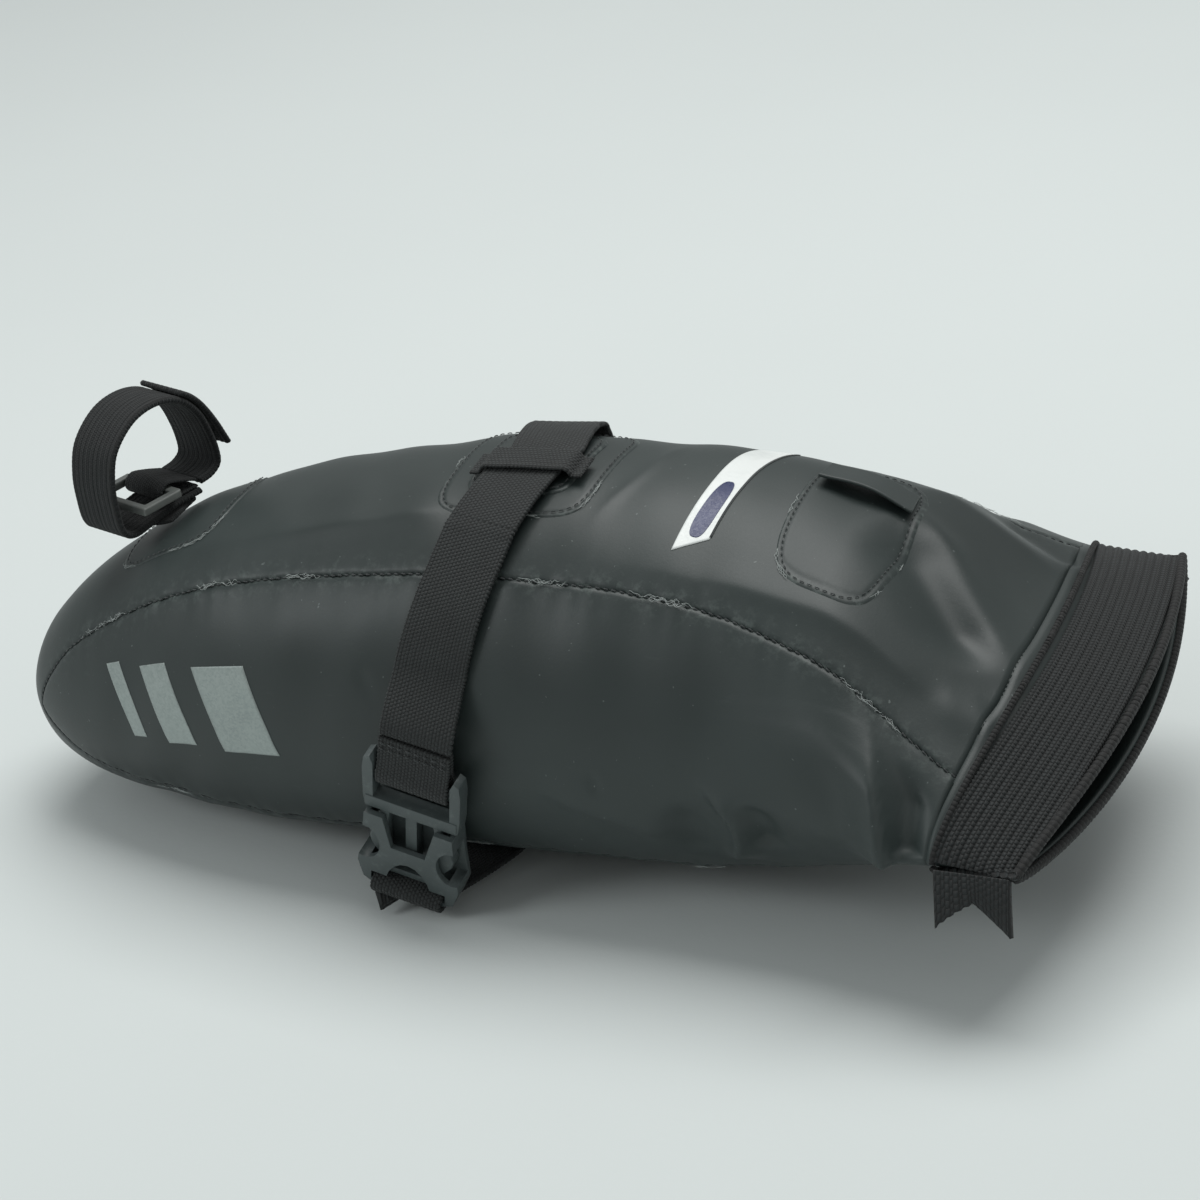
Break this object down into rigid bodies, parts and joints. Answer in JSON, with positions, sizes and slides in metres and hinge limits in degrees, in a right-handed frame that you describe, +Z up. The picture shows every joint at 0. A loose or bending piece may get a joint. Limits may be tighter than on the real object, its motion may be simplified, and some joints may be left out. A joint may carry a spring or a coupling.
{
  "type": "bicycle saddle bag",
  "caption": "Tapered waterproof saddle bag with rail straps on side-release buckles, a hook-and-loop seatpost strap and a roll-up mouth.",
  "frame": {"origin": "middle of the bounding box, on the floor the base patch stands on", "axes": "+X from the nose to the mouth (rearwards on the bicycle), +Z up towards the saddle, -Y the side with the printed bars"},
  "size_m": [0.3946, 0.188, 0.1487],
  "materials": {
    "coated_fabric": "satin coated fabric",
    "black_webbing": "woven webbing",
    "hook_and_loop": "hook-and-loop tape",
    "dark_grey_acetal": "satin moulded acetal",
    "grey_nylon": "satin moulded nylon",
    "white_label_film": "printed film",
    "reflective_print": "retroreflective film"
  },
  "bodies": {
    "bag": {"near_side_panel": "coated_fabric", "far_side_panel": "coated_fabric", "top_gusset": "coated_fabric", "bottom_gusset": "coated_fabric", "nose_cap": "coated_fabric", "top_patch": "coated_fabric", "top_patch_inner": "coated_fabric", "rear_patch": "coated_fabric", "nose_patch": "coated_fabric", "base_patch": "coated_fabric", "light_loop": "coated_fabric", "rail_strap_top": "black_webbing", "strap_keeper": "black_webbing", "near_strap_run": "black_webbing", "far_strap_run": "black_webbing", "near_tail_webbing": "black_webbing", "far_tail_webbing": "black_webbing", "post_strap_loop": "hook_and_loop", "post_strap_tab": "hook_and_loop", "post_strap_foot": "hook_and_loop", "near_buckle_female": "dark_grey_acetal", "far_buckle_female": "dark_grey_acetal", "label_strip": "white_label_film", "reflective_bar_0": "reflective_print", "reflective_bar_1": "reflective_print", "reflective_bar_2": "reflective_print"},
    "mouth": {"mouth_lip_upper": "coated_fabric", "mouth_lip_lower": "coated_fabric", "mouth_band_upper": "black_webbing", "mouth_band_lower": "black_webbing", "near_fishtail_end": "black_webbing", "far_fishtail_end": "black_webbing"},
    "near_male": {"near_buckle_male": "dark_grey_acetal", "near_strap_end": "black_webbing"},
    "far_male": {"far_buckle_male": "dark_grey_acetal", "far_strap_end": "black_webbing"},
    "near_front_prong": {"near_prong_front": "dark_grey_acetal"},
    "near_rear_prong": {"near_prong_rear": "dark_grey_acetal"},
    "far_front_prong": {"far_prong_front": "dark_grey_acetal"},
    "far_rear_prong": {"far_prong_rear": "dark_grey_acetal"},
    "post_tip": {"post_strap_tip": "hook_and_loop"},
    "post_ring": {"post_strap_ring": "grey_nylon"}
  },
  "joints": [
    {"name": "near_buckle_release", "type": "slide", "parent": "bag", "child": "near_male", "axis": [0.2541, -0.2093, 0.9443], "range_m": [0, 0.016], "deforming": ["near_strap_run"]},
    {"name": "far_buckle_release", "type": "slide", "parent": "bag", "child": "far_male", "axis": [0.2541, 0.2093, 0.9443], "range_m": [0, 0.016], "deforming": ["far_strap_run"]},
    {"name": "near_front_prong_flex", "type": "hinge", "parent": "near_male", "child": "near_front_prong", "pos_m": [-0.0324, -0.06988, 0.04198], "axis": [-0.061, -0.9778, -0.2003], "range_deg": [0, 15.5]},
    {"name": "near_rear_prong_flex", "type": "hinge", "parent": "near_male", "child": "near_rear_prong", "pos_m": [-0.01502, -0.07, 0.03728], "axis": [0.061, 0.9778, 0.2003], "range_deg": [0, 15.5]},
    {"name": "far_front_prong_flex", "type": "hinge", "parent": "far_male", "child": "far_front_prong", "pos_m": [-0.0324, 0.06988, 0.04198], "axis": [0.061, -0.9778, 0.2003], "range_deg": [0, 15.5]},
    {"name": "far_rear_prong_flex", "type": "hinge", "parent": "far_male", "child": "far_rear_prong", "pos_m": [-0.01502, 0.07, 0.03728], "axis": [-0.061, 0.9778, -0.2003], "range_deg": [0, 15.5]},
    {"name": "mouth_fold", "type": "hinge", "parent": "bag", "child": "mouth", "pos_m": [0.16545, -0.00263, 0.0891], "axis": [-0.0372, -0.9953, -0.0891], "range_deg": [0, 90]},
    {"name": "post_tip_peel", "type": "hinge", "parent": "bag", "child": "post_tip", "pos_m": [-0.1391, 0.01191, 0.1458], "axis": [0.9455, -0.3256, 0], "range_deg": [0, 75]},
    {"name": "post_ring_swing", "type": "hinge", "parent": "bag", "child": "post_ring", "pos_m": [-0.14304, 0.00047, 0.1152], "axis": [-0.9455, 0.3256, 0], "range_deg": [0, 90]}
  ],
  "couplings": [
    {"joint": "near_front_prong_flex", "follows": "near_buckle_release", "rad_per_m": 16.5},
    {"joint": "near_rear_prong_flex", "follows": "near_buckle_release", "rad_per_m": 16.5},
    {"joint": "far_front_prong_flex", "follows": "far_buckle_release", "rad_per_m": 16.5},
    {"joint": "far_rear_prong_flex", "follows": "far_buckle_release", "rad_per_m": 16.5}
  ]
}
